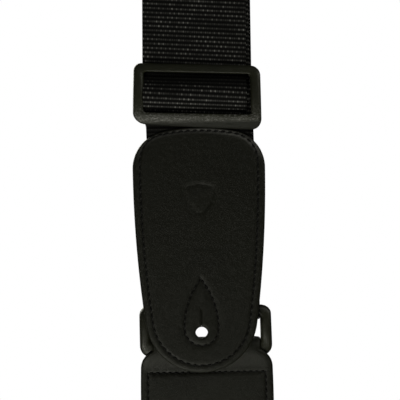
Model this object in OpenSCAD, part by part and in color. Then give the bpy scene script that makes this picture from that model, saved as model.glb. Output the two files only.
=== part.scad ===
// Guitar strap, hanging folded over a shoulder or peg at its middle.
// +Z is up, the front half faces -Y, and X runs across the webbing.
// The origin is the top of the fold's inner face, where a peg or shoulder carries the strap.
// The front half ends in the front tab, sewn to the webbing. The webbing then weaves through a
// three-bar slider, goes over the fold, turns round a rectangular ring, and comes back up and
// over the fold to the slider, where its end is sewn round the middle bar. The rear tab hangs
// from the ring. Lengths are in millimetres.

/* [Webbing] */
// Width of the webbing
web_w = 50; // [46:0.5:52]
// Thickness of one layer of webbing
web_t = 1.5; // [1.2:0.05:1.5]
// Radius of the fold's inner face
fold_r = 5.25; // [4:0.25:8]
// Height from the fold's middle down to where the two halves run straight
fold_ease = 45; // [30:1:80]
// Distance from the origin down to the middle of the slider
slider_drop = 300; // [200:5:400]
// Sideways offset of each half from the middle, as the strap was folded
half_shift = 1.1; // [0:0.1:2]
// Length of webbing sewn back on itself above the slider
sewn_end = 40; // [30:1:60]

/* [Slider] */
// Width over the slider
slider_w = 61.4; // [61.4:0.1:66]
// Height over the slider
slider_h = 31.4; // [31:0.2:34]
// Width of the slider's sides, seen from the front
slider_bar = 4.9; // [4.5:0.1:4.9]
// Height of its upper bar
slider_upper = 5.3; // [4.9:0.1:5.8]
// Height of its lower bar
slider_lower = 6.1; // [4.9:0.1:6.4]
// Angle at which it sits across the webbing, right end lower
slider_tilt = 2.3; // [0:0.1:2.3]
// Thickness of the slider's outer bars
slider_t = 4.35; // [3.5:0.05:5]

/* [Ring] */
// Width over the ring
ring_w = 64.7; // [64:0.1:68]
// Height over the ring
ring_h = 24.6; // [24:0.2:30]
// Radius of the ring's round upper and lower bars
ring_r = 3.2; // [2.6:0.05:3.2]
// Width of the ring's sides, seen from the front
ring_side = 5.2; // [4.6:0.1:5.4]
// Drop from the slider's middle to the ring's upper bar
ring_drop = 104.9; // [90:0.1:112]

/* [Leather tabs] */
// Greatest half width of a tab
tab_half = 32; // [30:0.5:34]
// Thickness of the face leather
face_t = 1.7; // [1.2:0.1:1.8]
// Thickness of the backing leather
back_t = 1.4; // [1:0.1:1.6]
// Radius of the long curved side of a tab
side_r = 560; // [400:5:900]
// Radius of a tab's round tip
tip_r = 27.15; // [22:0.05:29]
// Radius of the button hole
hole_r = 3; // [2.5:0.1:3.5]
// Length of the slit above the button hole
slit_len = 7; // [6:0.5:12]
// Distance of the edge seam from the edge of the leather
seam_inset = 3.2; // [3:0.1:5]

/* [Hidden] */
$fn = 48;

// Colours
webbing_black = [0.07, 0.07, 0.07];
leather_black = [0.09, 0.09, 0.085];
backing_black = [0.12, 0.12, 0.115];
plastic_black = [0.05, 0.05, 0.05];
thread_black = [0.03, 0.03, 0.03];

// Clearances
layer_gap = 0.1;      // between two layers of one body
body_gap = 0.3;       // between pieces that move against each other
pitch = web_t + layer_gap;

// Depths of the webbing's middle planes, before the front or back sign
inner_y = 3;
outer_y = inner_y + pitch;
fold_z = -fold_r;                       // height of the fold's centre
fold_inner = fold_r + web_t / 2;        // middle radius of the inner layer at the fold

// Heights
slider_z = -slider_drop;
weave_half = 12;                        // half the height of webbing that moves with the slider
weave_depth = 4.75;                     // how far the weave comes forward over the middle bar
weave_rise = 7.6;                       // height over which it comes forward
loop_plateau = 2;                       // half the height of the flat stretch on the middle bar
outer_plateau = loop_plateau + 1.2;

neck_len = 10;                          // webbing that lengthens below the slider's weave
tongue_len = 38;                        // webbing between the leathers below the neck
straight_z = fold_z - fold_ease - layer_gap;    // top of the straight strands
weave_top_z = slider_z + weave_half + layer_gap;
neck_z = slider_z - weave_half - layer_gap;
tongue_z = neck_z - neck_len - layer_gap;

// Slider bars
slider_front = -(outer_y + web_t / 2 + body_gap) - slider_t / 2;   // middle depth of the frame
mid_bar_y = -(inner_y + weave_depth) + web_t / 2 + 0.2 + 1.2;      // middle depth of the middle bar
mid_bar_t = 2.4;
mid_bar_h = 3.6;
slider_corner = 5.9;
slider_play = 0.2;                      // how far it sits to the right of the webbing's middle
slider_edge = 1.9;                      // rounding of each bar's section

// Ring and the webbing that turns round it
ring_y = 3.8;
ring_top_z = slider_z - ring_drop;
ring_bar_gap = ring_h - 2 * ring_r;     // between the middles of the upper and lower bar
ring_low_z = ring_top_z - ring_bar_gap;
ring_corner = 3.9;                      // middle radius of the ring's corners, in its sides
turn_r = ring_r + body_gap - 0.05 + web_t / 2;
turn_top = 14;                          // height of the turn's straight ends above the bar
spread_len = 40;                        // height over which the two layers part to pass the bar

// Angle where a tab's long side meets its round tip, and the drop from widest line to tip
tip_angle = acos((side_r - tab_half) / (side_r - tip_r));
tip_drop = (side_r - tab_half) * tan(tip_angle);
tab_drop = tip_drop + tip_r;

// Front tab, in depth and height
face_front_y = -(outer_y + web_t / 2);  // back of the face leather
tab_corner = 18;                        // radius of the front tab's shoulder
tab_crown = 19.6;                       // height of the top edge above the widest line
front_wide_z = slider_z - 35.5;         // height of the front tab's widest line
seam_corner = 13.35;                    // the seam's own shoulder, closer to the edge
seam_crown = 14.65;
seam_z = front_wide_z + 3.6;            // height of the middle of the seam's shoulder
front_tip_z = front_wide_z - tab_drop;
hole_up = 19.7;                         // height of the button hole above the tip

// Rear tab
loop_r = ring_r + body_gap - 0.05 + face_t / 2;
rear_corner = 11;
rear_corner_z = ring_low_z - 10.3;      // height of the middle of the rear tab's shoulder
rear_wide_z = ring_low_z - 26.9;        // height of its widest line
rear_mid_t = face_t;                    // the middle layer is the end of the face leather
rear_face_y = ring_y - rear_mid_t / 2;  // back of the rear tab's face
cross_seam_z = ring_low_z - 12;
tongue_end_z = ring_low_z - 24;
rear_tip_z = rear_wide_z - tab_drop;

// Fillers
slot_gap = 0.4;                         // room round the end of the webbing or of the leather loop
edge_step = 0.4;                        // how far the fillers stay in from the edge

// Seams
thread_w = 0.7;
thread_t = 0.25;
drop_half = 8.6;                        // half width of the teardrop seam
drop_rise = 1.6;                        // its round part's centre above the button hole
drop_apex = 26.3;                       // its point above the button hole

// ---- Curves ----

function ease(t) = let (u = min(1, max(0, t))) u * u * (3 - 2 * u);
function arc(cx, cy, r, a0, a1, n) =
    [for (i = [0:n]) let (a = a0 + (a1 - a0) * i / n) [cx + r * cos(a), cy + r * sin(a)]];
function flip(points) = [for (i = [len(points) - 1:-1:0]) points[i]];
function mirrored(points) = [for (p = flip(points)) [-p[0], p[1]]];
function unit(v) = v / norm(v);
function tangent(path, i) =
    unit(path[min(i + 1, len(path) - 1)] - path[max(i - 1, 0)]);
function side_of(path, off) =
    [for (i = [0:len(path) - 1]) let (t = tangent(path, i)) path[i] + off * [-t[1], t[0]]];
// Outline of a layer of thickness t along a path
function layer(path, t) = concat(side_of(path, t / 2), flip(side_of(path, -t / 2)));

// Middle line of a strand below the fold: it leaves the fold at full width and eases in
function strand(sign, y) =
    let (wide = fold_inner - inner_y, from_z = fold_z - layer_gap, to_z = fold_z - fold_ease)
    [for (i = [0:24])
        let (z = from_z + (to_z - from_z) * i / 24)
        [sign * (y + wide * ease(1 - (fold_z - z) / fold_ease)), z]];

// Height share of the weave: 1 on the middle bar, 0 behind the outer bars
function weave(z, plateau) = ease(1 - (abs(z) - plateau) / weave_rise);

// Right-hand side of a tab down to the tip, inset from the edge. It starts at an angle above the
// widest line.
function tab_flank(wide_z, inset, start = 0) = concat(
    arc(tab_half - side_r, wide_z, side_r - inset, start, -tip_angle, 10),
    arc(0, wide_z - tip_drop, tip_r - inset, -tip_angle, -90, 16)
);

// Front tab: a shallow crown, round shoulders, long sides and a round tip
crown_x = tab_half - tab_corner;
crown_r = (pow(crown_x, 2) + pow(tab_crown, 2) - pow(tab_corner, 2))
    / (2 * (tab_crown - tab_corner));
crown_angle = atan2(crown_r - tab_crown, crown_x);
function front_half(inset) = concat(
    arc(0, front_wide_z + tab_crown - crown_r, crown_r - inset, 90, crown_angle, 6),
    arc(crown_x, front_wide_z, tab_corner - inset, crown_angle, 0, 12),
    tab_flank(front_wide_z, inset)
);
function front_outline(inset) = concat(front_half(inset), mirrored(front_half(inset)));

// The front tab's edge seam: it runs closer to the edge round the crown than along the sides
seam_x = tab_half - seam_inset - seam_corner;
seam_r = (pow(seam_x, 2) + pow(seam_crown, 2) - pow(seam_corner, 2))
    / (2 * (seam_crown - seam_corner));
seam_angle = atan2(seam_r - seam_crown, seam_x);
function seam_half(inset) = concat(
    arc(0, seam_z + seam_crown - seam_r, seam_r - inset, 90, seam_angle, 6),
    arc(seam_x, seam_z, seam_corner - inset, seam_angle, 0, 12),
    tab_flank(front_wide_z, seam_inset + inset)
);
function front_seam(inset) = concat(seam_half(inset), mirrored(seam_half(inset)));

// Rear tab: a straight neck that passes through the ring, round shoulders, sides and tip
rear_side = asin((rear_corner_z - rear_wide_z) / (side_r - rear_corner));
rear_x = tab_half - side_r + (side_r - rear_corner) * cos(rear_side);
neck_angle = acos((web_w / 2 - rear_x) / rear_corner);
function rear_half(inset) = concat(
    arc(rear_x, rear_corner_z, rear_corner - inset, neck_angle, rear_side, 10),
    tab_flank(rear_wide_z, inset, rear_side)
);
function rear_outline(top_z) =
    let (half = concat([[web_w / 2, top_z]], rear_half(0))) concat(half, mirrored(half));

// Teardrop seam round a button hole at height z
drop_r = (pow(drop_half, 2) + pow(drop_apex - drop_rise, 2)) / (2 * drop_half);
function drop_side(z, inset) =
    let (top = acos((drop_r - drop_half) / (drop_r - inset)))
    concat(
        arc(drop_half - drop_r, z + drop_rise, drop_r - inset, top, 0, 10),
        arc(0, z + drop_rise, drop_half - inset, 0, -90, 10)
    );
function teardrop(z, inset) = concat(drop_side(z, inset), mirrored(drop_side(z, inset)));

// ---- Building steps ----

// A profile in depth and height, drawn across the strap
module across(width, x) {
    translate([x - width / 2, 0, 0])
        rotate([90, 0, 90])
            linear_extrude(width)
                children();
}

// An outline in width and height, drawn forward from depth back_y
module plate(back_y, t, x) {
    translate([x, back_y, 0])
        rotate([90, 0, 0])
            linear_extrude(t)
                children();
}

module webbing(path, x) {
    color(webbing_black)
        across(web_w, x)
            polygon(layer(path, web_t));
}

// The round hole and the slit above it that let the strap pin's head through
module button_hole(z, x) {
    translate([x, 0, z])
        rotate([90, 0, 0])
            cylinder(r = hole_r, h = 60, center = true);
    translate([x - 0.4, -30, z])
        cube([0.8, 60, hole_r + slit_len]);
}

// The same outline of thread on a tab's front and back
module seam_pair(front_y, rear_y, x) {
    color(thread_black) {
        plate(front_y, thread_t, x) children();
        plate(rear_y + thread_t, thread_t, x) children();
    }
}

// A frame of one bar section: four straight bars and four round corners.
// The children are the bar's section, with its own middle at the origin.
module bar_frame(w, h, corner) {
    for (sx = [-1, 1])
        translate([sx * w / 2, 0, -h / 2 + corner])
            linear_extrude(h - 2 * corner)
                children();
    for (sz = [-1, 1])
        translate([-w / 2 + corner, 0, sz * h / 2])
            rotate([0, 90, 0])
                linear_extrude(w - 2 * corner)
                    children();
    for (turn = [0:3]) {
        sx = turn == 0 || turn == 3 ? 1 : -1;
        sz = turn < 2 ? 1 : -1;
        translate([sx * (w / 2 - corner), 0, sz * (h / 2 - corner)])
            rotate([90, 0, 0])
                rotate(90 * turn)
                    rotate_extrude(angle = 90)
                        translate([corner, 0])
                            children();
    }
}

module rounded_section(a, b, r) {
    for (sx = [-1, 1], sy = [-1, 1])
        translate([sx * (a / 2 - r), sy * (b / 2 - r)])
            circle(r = r);
    square([a - 2 * r, b], center = true);
    square([a, b - 2 * r], center = true);
}

// ---- Webbing over the shoulder and down the back ----

module webbing_shoulder_fold() {
    color(webbing_black)
        for (r = [fold_inner, fold_inner + pitch])
            translate([-web_w / 2, 0, fold_z])
                rotate([0, 90, 0])
                    rotate(90)
                        rotate_extrude(angle = 180)
                            translate([r - web_t / 2, 0])
                                square([web_t, web_w]);
}

module webbing_back_top() {
    webbing(strand(1, outer_y), half_shift);
    webbing(strand(1, inner_y), half_shift);
}

module webbing_back_outer() {
    webbing(strand_to_turn(outer_y, ring_y + turn_r), half_shift);
}

module webbing_back_inner() {
    webbing(strand_to_turn(inner_y, ring_y - turn_r), half_shift);
}

// A back strand hangs straight, then parts from its neighbour to pass the ring's bar
function strand_to_turn(y, turn_y) =
    let (low = ring_top_z + turn_top, part = ring_top_z + spread_len)
    concat(
        [[y, straight_z]],
        [for (i = [0:12])
            let (z = part + (low - part) * i / 12)
            [parting(z, y, turn_y), z]]
    );
function parting(z, y, turn_y) =
    y + (turn_y - y) * ease((ring_top_z + spread_len - z) / (spread_len - 6));

module webbing_ring_turn() {
    low = ring_top_z + turn_top - layer_gap;
    front = [for (i = [0:6]) let (z = low + (ring_top_z - low) * i / 6)
        [parting(z, inner_y, ring_y - turn_r), z]];
    rear = [for (i = [0:6]) let (z = ring_top_z + (low - ring_top_z) * i / 6)
        [parting(z, outer_y, ring_y + turn_r), z]];
    webbing(concat(front, arc(ring_y, ring_top_z, turn_r, 190, 350, 16), rear), half_shift);
}

// ---- Webbing down the front ----

module webbing_front_top() {
    webbing(strand(-1, outer_y), -half_shift);
    webbing(strand(-1, inner_y), -half_shift);
}

module webbing_front_outer() {
    webbing([[-outer_y, straight_z], [-outer_y, weave_top_z]], -half_shift);
}

module webbing_front_inner() {
    webbing([[-inner_y, straight_z], [-inner_y, weave_top_z]], -half_shift);
}

module webbing_neck() {
    webbing([[-outer_y, neck_z], [-outer_y, neck_z - neck_len]], -half_shift);
}

module webbing_tab_tongue() {
    webbing([[-outer_y, tongue_z], [-outer_y, tongue_z - tongue_len]], -half_shift);
}

// ---- Front tab ----

module front_tab_face() {
    color(leather_black)
        difference() {
            plate(face_front_y - 0.02, face_t, -half_shift) polygon(front_outline(0));
            button_hole(front_tip_z + hole_up, -half_shift);
        }
}

// Fills the space between the two leathers beside and below the webbing
module front_tab_filler() {
    end_z = tongue_z - tongue_len - slot_gap;
    color(backing_black)
        difference() {
            plate(-outer_y + web_t / 2, web_t, -half_shift)
                difference() {
                    polygon(front_outline(edge_step));
                    translate([-web_w / 2 - slot_gap, end_z])
                        square([web_w + 2 * slot_gap, -end_z]);
                }
            button_hole(front_tip_z + hole_up, -half_shift);
        }
}

module front_tab_backing() {
    color(backing_black)
        difference() {
            plate(-outer_y + web_t / 2 + 0.02 + back_t, back_t, -half_shift)
                polygon(front_outline(0));
            button_hole(front_tip_z + hole_up, -half_shift);
        }
}

front_seam_y = face_front_y - 0.02 - face_t;
front_rear_y = -outer_y + web_t / 2 + 0.02 + back_t;

module front_tab_edge_thread() {
    seam_pair(front_seam_y, front_rear_y, -half_shift)
        difference() {
            polygon(front_seam(0));
            polygon(front_seam(thread_w));
        }
}

module front_tab_buttonhole_thread() {
    seam_pair(front_seam_y, front_rear_y, -half_shift)
        difference() {
            polygon(teardrop(front_tip_z + hole_up, 0));
            polygon(teardrop(front_tip_z + hole_up, thread_w));
        }
}

// ---- Slider, with the webbing that is in it ----

module slider_frame() {
    color(plastic_black)
        translate([slider_play - half_shift, 0, slider_z])
            rotate([0, slider_tilt, 0]) {
                translate([0, slider_front, 0])
                    bar_frame(slider_w - slider_bar, slider_h - slider_bar, slider_corner - slider_bar / 2)
                        rounded_section(slider_bar, slider_t, slider_edge);
                across(slider_w - 2 * slider_corner, 0)
                    translate([slider_front, slider_h / 2 - slider_upper / 2])
                        rounded_section(slider_t, slider_upper, slider_edge);
                across(slider_w - 2 * slider_corner, 0)
                    translate([slider_front, slider_lower / 2 - slider_h / 2])
                        rounded_section(slider_t, slider_lower, slider_edge);
                across(slider_w - slider_bar, 0)
                    translate([mid_bar_y, 0])
                        rounded_section(mid_bar_t, mid_bar_h, mid_bar_t / 2 - 0.01);
            }
}

// The outer strand: behind the upper bar, over the middle bar, behind the lower bar
module webbing_slider_weave() {
    webbing(
        [for (i = [0:60])
            let (z = weave_half - 2 * weave_half * i / 60)
            [-outer_y - weave_depth * weave(z, outer_plateau), slider_z + z]],
        -half_shift
    );
}

// The strap's end: over the middle bar, round under it, and up behind, where it is sewn
module webbing_end_loop() {
    loop_y = inner_y + weave_depth;
    round_z = slider_z - (mid_bar_h - mid_bar_t) / 2 - web_w / 2 * tan(slider_tilt);
    round_r = loop_y + mid_bar_y;
    tail_y = inner_y - pitch - 0.05;
    rear_y = -mid_bar_y - round_r;
    down = [for (i = [0:24])
        let (z = weave_half - (weave_half - loop_plateau) * i / 24)
        [-inner_y - weave_depth * weave(z, loop_plateau), slider_z + z]];
    under = arc(mid_bar_y, round_z, round_r, 180, 360, 16);
    up = [for (i = [0:24])
        let (z = loop_plateau + weave_rise * i / 24)
        [-tail_y - (rear_y - tail_y) * weave(z, loop_plateau), slider_z + z]];
    webbing(
        concat(down, under, up, [[-tail_y, slider_z + weave_half + sewn_end]]),
        -half_shift
    );
}

// A box with a cross in it, on the back of the sewn end
module end_loop_thread() {
    rear = -(inner_y - pitch - 0.05) + web_t / 2;
    box_w = web_w - 12;
    box_h = sewn_end - 12;
    diagonal = norm([box_w, box_h]);
    color(thread_black)
        plate(rear + thread_t, thread_t, -half_shift)
            translate([0, slider_z + weave_half + sewn_end / 2 + 2]) {
                difference() {
                    square([box_w, box_h], center = true);
                    square([box_w - 2 * thread_w, box_h - 2 * thread_w], center = true);
                }
                for (lean = [-1, 1])
                    rotate(lean * atan2(box_h, box_w))
                        square([diagonal - 2, thread_w], center = true);
            }
}

// ---- Ring ----

module ring() {
    color(plastic_black)
        translate([half_shift, ring_y, ring_top_z - ring_bar_gap / 2]) {
            bar_frame(ring_w - ring_side, ring_h - ring_side, ring_corner)
                scale([ring_side / (2 * ring_r), 1])
                    circle(r = ring_r);
            for (side = [-1, 1])
                translate([0, 0, side * ring_bar_gap / 2])
                    rotate([0, 90, 0])
                        cylinder(r = ring_r, h = ring_w - ring_side - 2 * ring_corner, center = true);
        }
}

// ---- Rear tab ----

// Face leather: from the crest of its loop over the ring's lower bar, down the front to the tip
module rear_tab_face() {
    wide = 2 * tab_half + 2;
    front_y = ring_y - loop_r;
    rear_y = ring_y + loop_r;
    mid_y = rear_face_y - 0.02 - face_t / 2;
    down = [for (i = [0:12]) let (t = i / 12)
        [front_y + (mid_y - front_y) * ease(t), ring_low_z - 1 - 10 * t]];
    back = [for (i = [0:12]) let (t = i / 12)
        [rear_y + (ring_y - rear_y) * ease(t), ring_low_z - 1 - 9 * t]];
    color(leather_black)
        difference() {
            union() {
                intersection() {
                    across(wide, half_shift)
                        polygon(layer(
                            concat(arc(ring_y, ring_low_z, loop_r, 90, 180, 10), down,
                                [[mid_y, rear_tip_z - 5]]),
                            face_t));
                    plate(ring_y + 20, 40, half_shift)
                        polygon(rear_outline(ring_low_z + 10));
                }
                across(web_w, half_shift)
                    polygon(layer(
                        concat(arc(ring_y, ring_low_z, loop_r, 90, 0, 10), back,
                            [[ring_y, tongue_end_z]]),
                        face_t));
            }
            button_hole(rear_tip_z + hole_up, half_shift);
        }
}

// Fills the space between the two leathers beside and below the end of the loop
module rear_tab_filler() {
    end_z = tongue_end_z - slot_gap;
    color(backing_black)
        difference() {
            plate(ring_y + rear_mid_t / 2, rear_mid_t, half_shift)
                difference() {
                    intersection() {
                        polygon(concat(rear_half(edge_step), mirrored(rear_half(edge_step))));
                        translate([-tab_half, rear_tip_z])
                            square([2 * tab_half, cross_seam_z + 1 - rear_tip_z]);
                    }
                    translate([-web_w / 2 - slot_gap, end_z])
                        square([web_w + 2 * slot_gap, -end_z]);
                }
            button_hole(rear_tip_z + hole_up, half_shift);
        }
}

rear_back_y = ring_y + rear_mid_t / 2 + 0.02 + back_t;

module rear_tab_backing() {
    top = ring_low_z - 10.5;
    color(backing_black)
        difference() {
            plate(rear_back_y, back_t, half_shift)
                intersection() {
                    polygon(rear_outline(ring_low_z));
                    translate([-tab_half, rear_tip_z])
                        square([2 * tab_half, top - rear_tip_z]);
                }
            button_hole(rear_tip_z + hole_up, half_shift);
        }
}

rear_seam_y = rear_face_y - 0.02 - face_t;

// Both sides and the tip, below the cross seam
module rear_tab_edge_thread() {
    seam_pair(rear_seam_y, rear_back_y, half_shift)
        intersection() {
            difference() {
                polygon(concat(rear_half(seam_inset), mirrored(rear_half(seam_inset))));
                polygon(concat(
                    [[rear_x, rear_corner_z + rear_corner]],
                    rear_half(seam_inset + thread_w),
                    mirrored(rear_half(seam_inset + thread_w)),
                    [[-rear_x, rear_corner_z + rear_corner]]
                ));
            }
            translate([-tab_half, rear_tip_z])
                square([2 * tab_half, cross_seam_z - 1.2 - rear_tip_z]);
        }
}

module rear_tab_cross_thread() {
    seam_pair(rear_seam_y, rear_back_y, half_shift)
        translate([0, cross_seam_z])
            square([2 * (tab_half - seam_inset), thread_w], center = true);
}

module rear_tab_buttonhole_thread() {
    seam_pair(rear_seam_y, rear_back_y, half_shift)
        difference() {
            polygon(teardrop(rear_tip_z + hole_up, 0));
            polygon(teardrop(rear_tip_z + hole_up, thread_w));
        }
}

webbing_shoulder_fold();
webbing_back_top();
webbing_back_outer();
webbing_back_inner();
webbing_front_top();
webbing_front_outer();
webbing_front_inner();
webbing_neck();
webbing_tab_tongue();
front_tab_face();
front_tab_filler();
front_tab_backing();
front_tab_edge_thread();
front_tab_buttonhole_thread();
slider_frame();
webbing_slider_weave();
webbing_end_loop();
end_loop_thread();
webbing_ring_turn();
ring();
rear_tab_face();
rear_tab_filler();
rear_tab_backing();
rear_tab_edge_thread();
rear_tab_cross_thread();
rear_tab_buttonhole_thread();
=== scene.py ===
import math
import bmesh
import bpy
import numpy as np
from mathutils import Matrix, Vector
from mathutils.geometry import delaunay_2d_cdt


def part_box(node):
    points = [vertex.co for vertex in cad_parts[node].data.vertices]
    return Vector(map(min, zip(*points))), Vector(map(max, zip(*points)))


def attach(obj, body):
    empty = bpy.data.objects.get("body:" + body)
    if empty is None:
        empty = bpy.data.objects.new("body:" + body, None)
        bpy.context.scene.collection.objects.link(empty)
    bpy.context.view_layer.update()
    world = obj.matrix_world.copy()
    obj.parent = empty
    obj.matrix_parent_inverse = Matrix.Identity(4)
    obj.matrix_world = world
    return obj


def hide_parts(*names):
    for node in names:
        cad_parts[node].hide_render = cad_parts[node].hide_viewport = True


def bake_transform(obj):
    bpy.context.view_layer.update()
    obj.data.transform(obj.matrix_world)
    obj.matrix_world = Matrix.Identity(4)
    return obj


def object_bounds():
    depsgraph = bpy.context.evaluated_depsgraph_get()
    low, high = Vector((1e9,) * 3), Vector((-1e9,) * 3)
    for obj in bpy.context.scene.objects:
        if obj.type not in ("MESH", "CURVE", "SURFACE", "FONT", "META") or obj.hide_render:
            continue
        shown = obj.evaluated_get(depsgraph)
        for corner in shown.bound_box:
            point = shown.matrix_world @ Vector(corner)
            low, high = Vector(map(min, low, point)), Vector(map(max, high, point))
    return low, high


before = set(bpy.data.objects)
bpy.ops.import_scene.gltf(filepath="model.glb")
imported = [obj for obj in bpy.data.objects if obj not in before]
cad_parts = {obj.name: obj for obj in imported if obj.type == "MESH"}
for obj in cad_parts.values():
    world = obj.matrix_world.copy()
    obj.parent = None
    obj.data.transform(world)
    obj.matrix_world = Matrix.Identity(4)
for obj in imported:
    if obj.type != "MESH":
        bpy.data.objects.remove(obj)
cad_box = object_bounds()
scene = bpy.context.scene
MM = 0.001

# ---- camera: the photograph's view, level and straight on, with the strap leaning 1 degree ----

cam_data = bpy.data.cameras.new("camera")
cam_data.lens = 120
camera = bpy.data.objects.new("camera", cam_data)
scene.collection.objects.link(camera)
camera.matrix_world = (
    Matrix.Translation((-0.0008, -0.6495, -0.351))
    @ Matrix.Rotation(math.radians(90), 4, "X")
    @ Matrix.Rotation(math.radians(-1.01), 4, "Z")
)
scene.camera = camera

# ---- measures from the frame, in millimetres ----


def box(node):
    lo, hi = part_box(node)
    return [v / MM for v in lo], [v / MM for v in hi]


def middle(node, axis):
    lo, hi = box(node)
    return (lo[axis] + hi[axis]) / 2


def size_of(node, axis):
    lo, hi = box(node)
    return hi[axis] - lo[axis]


def bottom(node):
    return box(node)[0][2]


def top(node):
    return box(node)[1][2]


WEB_W, WEB_T = size_of("webbing_front_outer", 0), size_of("webbing_front_outer", 1)
X_FRONT, X_BACK = middle("webbing_front_outer", 0), middle("webbing_back_outer", 0)
OUTER_Y, INNER_Y = -middle("webbing_front_outer", 1), -middle("webbing_front_inner", 1)
FOLD_Z, STRAIGHT_Z = bottom("webbing_shoulder_fold"), top("webbing_front_outer")
R_OUTER = box("webbing_shoulder_fold")[1][1] - WEB_T / 2
R_INNER = R_OUTER - (OUTER_Y - INNER_Y)
SLIDER_X, SLIDER_Z = middle("slider_frame", 0), middle("slider_frame", 2)
SLIDER_TILT = math.radians(2.3)
RING_X, RING_Y, RING_Z = (middle("ring", axis) for axis in range(3))
RING_R = size_of("ring", 1) / 2
RING_TOP, RING_LOW = top("ring") - RING_R, bottom("ring") + RING_R
FACE_T, BACKING_T = size_of("front_tab_face", 1), size_of("front_tab_backing", 1)

# ---- materials ----


class Nodes:
    """A short way to write a material's nodes."""

    def __init__(self, name):
        self.mat = bpy.data.materials.new(name)
        self.mat.use_nodes = True
        self.tree = self.mat.node_tree
        self.bsdf = self.tree.nodes["Principled BSDF"]

    def add(self, kind, inputs=None, **settings):
        node = self.tree.nodes.new("ShaderNode" + kind)
        for key, value in settings.items():
            setattr(node, key, value)
        for key, value in (inputs or {}).items():
            self.put(node.inputs[key], value)
        return node

    def put(self, socket, value):
        if hasattr(value, "is_output"):
            self.tree.links.new(value, socket)
        else:
            socket.default_value = value

    def math(self, op, a, b=0.0, c=0.0, clamp=False):
        node = self.add("Math", operation=op, use_clamp=clamp)
        for socket, value in zip(node.inputs, (a, b, c)):
            self.put(socket, value)
        return node.outputs[0]

    def times(self, a, b, clamp=False):
        return self.math("MULTIPLY", a, b, clamp=clamp)

    def plus(self, base, value, by):
        """base + value * by"""
        return self.math("MULTIPLY_ADD", value, by, base)

    def wave(self, turns):
        """A row of arches, one to each whole number."""
        return self.math("ABSOLUTE", self.math("SINE", self.times(turns, math.pi)))

    def range(self, value, a, b, c, d):
        return self.add("MapRange", {0: value, 1: a, 2: b, 3: c, 4: d}).outputs[0]

    def mix(self, factor, a, b):
        return self.add("Mix", {0: factor, 6: a, 7: b}, data_type="RGBA").outputs[2]

    def point(self, x, y):
        return self.add("CombineXYZ", {0: x, 1: y}).outputs[0]

    def noise(self, vector, scale, detail=3.0, rough=0.5):
        inputs = {"Vector": vector, "Scale": scale, "Detail": detail, "Roughness": rough}
        return self.add("TexNoise", inputs).outputs["Fac"]

    def cells(self, vector, scale):
        """Distance to the edge of the nearest cell."""
        inputs = {"Vector": vector, "Scale": scale}
        return self.add("TexVoronoi", inputs, feature="DISTANCE_TO_EDGE").outputs["Distance"]

    def attribute(self, name):
        return self.add("Attribute", attribute_name=name).outputs["Fac"]

    def vector(self, op, a, b=(0.0, 0.0, 0.0)):
        return self.add("VectorMath", {0: a, 1: b}, operation=op)

    def scaled(self, vector, by):
        return self.vector("MULTIPLY", vector, by).outputs[0]

    def object_mm(self):
        return self.scaled(self.add("TexCoord").outputs["Object"], (1 / MM,) * 3)

    def bump(self, height, distance, strength):
        inputs = {"Height": height, "Distance": distance * MM, "Strength": strength}
        return self.add("Bump", inputs).outputs[0]

    def finish(self, **inputs):
        for key, value in inputs.items():
            self.put(self.bsdf.inputs[key.replace("_", " ")], value)
        return self.mat


def grey(v, warm=0.0):
    return (v * (1 + warm), v, v * (1 - warm), 1.0)


def olive(v):
    return (v * 0.95, v, v * 0.5, 1.0)


PITCH = 2.14  # one rib
YARN = 1.075  # one warp yarn across


def webbing_material(name, along, ribs=0.0, dimmed_span=None):
    """Ribbed webbing: yarns that go over and under, fibres, painted shade in the grooves with the crowns
    painted lighter, and painted glints on some of the crowns. along makes the socket of the place along the
    webbing in millimetres. ribs adds the ribs themselves as bump. The last argument is a stretch along the
    webbing over which the painted glints fade out and the crowns are painted darker."""
    n = Nodes(name)
    u, v = across_webbing(n), along(n)
    rib, yarn = n.math("DIVIDE", v, PITCH), n.math("DIVIDE", u, YARN)
    rib_wave, yarn_wave = n.wave(rib), n.wave(yarn)
    rib_count, yarn_count = n.math("FLOOR", rib), n.math("FLOOR", yarn)
    over = n.math("PINGPONG", n.math("ADD", rib_count, yarn_count), 1.0)
    chance = n.add("TexWhiteNoise", {"Vector": n.point(yarn_count, rib_count)}).outputs["Value"]
    fibre = n.noise(n.point(n.times(u, 9.0), v), 1.6, 2.0)
    wide = n.noise(n.point(u, v), 0.12)
    height = n.times(n.math("POWER", yarn_wave, 0.6), 0.35)
    height = n.plus(height, fibre, 0.3)
    height = n.plus(height, n.times(over, rib_wave), 0.4)
    if ribs:
        height = n.plus(height, rib_wave, ribs)
    crown = n.times(n.math("POWER", rib_wave, 6.0), n.math("POWER", yarn_wave, 0.3))
    # painted glints: highlights painted into the base colour on some of the crowns
    painted_glint = n.times(n.times(crown, yarn_wave), n.range(chance, 0.1, 1.0, 0.2, 1.0))
    painted_glint = n.times(painted_glint, n.range(over, 0.0, 1.0, 0.25, 1.0))
    painted_glint = n.times(painted_glint, n.range(wide, 0.38, 0.62, 0.3, 1.2), clamp=True)
    # painted shade: over this stretch the painted glints fade and the crowns are painted darker
    if dimmed_span:
        painted_glint = n.times(painted_glint, n.range(v, *dimmed_span, 1.0, 0.06))
        crown = n.times(crown, n.range(v, *dimmed_span, 1.0, 0.45))
    # painted shade in the grooves between the ribs, with the crowns painted lighter
    base = n.mix(crown, grey(0.0005), grey(0.025, 0.03))
    return n.finish(
        Base_Color=n.mix(painted_glint, base, grey(0.3, 0.02)),
        Roughness=n.range(crown, 0.0, 0.7, 0.85, 0.4),
        Normal=n.bump(height, 0.2, 0.9),
        Specular_IOR_Level=0.2,
    )


def weave_uv(n):
    return n.add("SeparateXYZ", {0: n.add("UVMap", uv_map="weave").outputs[0]}).outputs


def across_webbing(n):
    return n.times(weave_uv(n)[0], WEB_W)


def along_webbing(n):
    return n.times(weave_uv(n)[1], WEB_W)


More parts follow.
